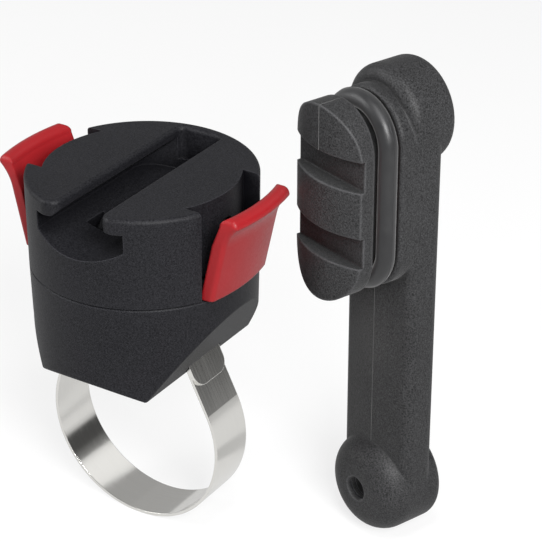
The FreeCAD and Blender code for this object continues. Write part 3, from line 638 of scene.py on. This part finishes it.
def floor_white():
    finish = bpy.data.materials.new("floor_white")
    finish.use_nodes = True
    tree = finish.node_tree
    tree.nodes.clear()
    direct, mirrored = ray_kinds(tree)
    seen = sums(tree, "MAXIMUM", direct, mirrored)
    matt = add(tree, "ShaderNodeBsdfDiffuse", Color=two_tone(tree, seen, PAPER_LIT, PAPER_SEEN))
    glow = add(tree, "ShaderNodeEmission", Color=(1, 1, 1, 1),
               Strength=span(tree, mirrored, 1.0, MIRROR_WHITE))
    both = add(tree, "ShaderNodeMixShader", i0=sums(tree, "MULTIPLY", seen, PAPER_GLOW),
               i1=matt.outputs[0], i2=glow.outputs[0])
    end = tree.nodes.new("ShaderNodeOutputMaterial")
    tree.links.new(both.outputs[0], end.inputs["Surface"])
    return finish


floor_z = cad_box[0].z
corners = [(x * FLOOR_HALF, y * FLOOR_HALF, floor_z)
           for x, y in ((-1, -1), (1, -1), (1, 1), (-1, 1))]
floor_mesh = bpy.data.meshes.new("floor")
floor_mesh.from_pydata(corners, [], [(0, 1, 2, 3)])
floor = bpy.data.objects.new("floor", floor_mesh)
floor_mesh.materials.append(floor_white())
scene.collection.objects.link(floor)
print("floor at", round(floor_z / MM, 2), "mm")

# %% [markdown]
# ## Room
# The camera sees a white room, and the lamps get a little help from it. Polished metal looks like
# metal when it mirrors both light and dark, so mirrors see another room: white paper below, a dark
# wall above it, a paler ceiling, and a pale window on the left.

# %% Room
STUDIO_DIM = 0.22                    # what the room adds to the lamps
ROOM = ((0.0, MIRROR_WHITE), (0.06, 0.07), (0.30, 0.07), (0.55, 0.40))    # height, brightness
WINDOW = 0.42                        # brightness of the window
WINDOW_FULL, WINDOW_ENDS = -0.4, 0.2    # sideways part of a direction, from full to none
world = bpy.data.worlds.new("studio")
world.use_nodes = True
scene.world = world
sky = world.node_tree
sky.nodes.clear()
direct, mirrored = ray_kinds(sky)
sight = add(sky, "ShaderNodeTexCoord").outputs["Generated"]
towards = add(sky, "ShaderNodeSeparateXYZ", Vector=sight).outputs
walls = add(sky, "ShaderNodeValToRGB", Fac=towards["Z"])
stops = walls.color_ramp.elements
for height, bright in ROOM:
    stops.new(height).color = (bright, bright, bright, 1)
for spare in (stops[-1], stops[0]):
    stops.remove(spare)
window = span(sky, towards["X"], WINDOW, 0.0, WINDOW_FULL, WINDOW_ENDS)
room = sums(sky, "MAXIMUM", walls.outputs["Color"], window)
ambient = add(sky, "ShaderNodeMix", i0=mirrored, i2=STUDIO_DIM, i3=room).outputs[0]
level = add(sky, "ShaderNodeMix", i0=direct, i2=ambient, i3=1.0).outputs[0]
backdrop = add(sky, "ShaderNodeBackground", Color=(1, 1, 1, 1), Strength=level)
sky.links.new(backdrop.outputs[0], sky.nodes.new("ShaderNodeOutputWorld").inputs["Surface"])
print("room with", len(stops), "shades from floor to ceiling")

# %% [markdown]
# ## Lamps
# A large lamp from the right front is the main one, a weaker one from the left opens the shadows, a
# small one overhead draws light lines along the rims, and a faint card behind is there for the strap
# to mirror.

# %% Lamps
def softbox(name, place_mm, aim_mm, size_mm, watts):
    """A rectangular lamp at a place, turned towards an aim."""
    lamp = bpy.data.lights.new(name, "AREA")
    lamp.shape = "RECTANGLE"
    lamp.size, lamp.size_y = size_mm[0] * MM, size_mm[1] * MM
    lamp.energy = watts
    box = bpy.data.objects.new(name, lamp)
    box.location = Vector(place_mm) * MM
    box.rotation_euler = (Vector(aim_mm) * MM - box.location).to_track_quat("-Z", "Y").to_euler()
    scene.collection.objects.link(box)
    print(name, watts, "W at", place_mm)


softbox("main_softbox", (340, -250, 300), (15, 0, 25), (220, 220), 3.7)
softbox("left_softbox", (-330, -200, 240), (0, 0, 25), (240, 240), 1.2)
softbox("top_softbox", (110, -120, 400), (36, 5, 20), (80, 80), 0.60)
softbox("strap_card", (75, 165, 135), (0, 0, -12), (130, 80), 0.020)

# %% [markdown]
# ## One mirror, two pictures
# The photograph was put together from two shots, so its strap shows no arm. Here both stand side by
# side and a black arm would fill half of the strap. Every piece of the arm is therefore hidden from
# glossy rays, and from nothing else.

# %% Keep the arm out of the mirror
for piece in (nodes["cage_arm"], nodes["rubber_ring"], arm_line, ring_line, *threads):
    piece.visible_glossy = False
    print(piece.name, "isn't mirrored")

# %% [markdown]
# ## Colour
# The Standard view shows colours as they were written.

# %% Finish
scene.view_settings.view_transform = "Standard"
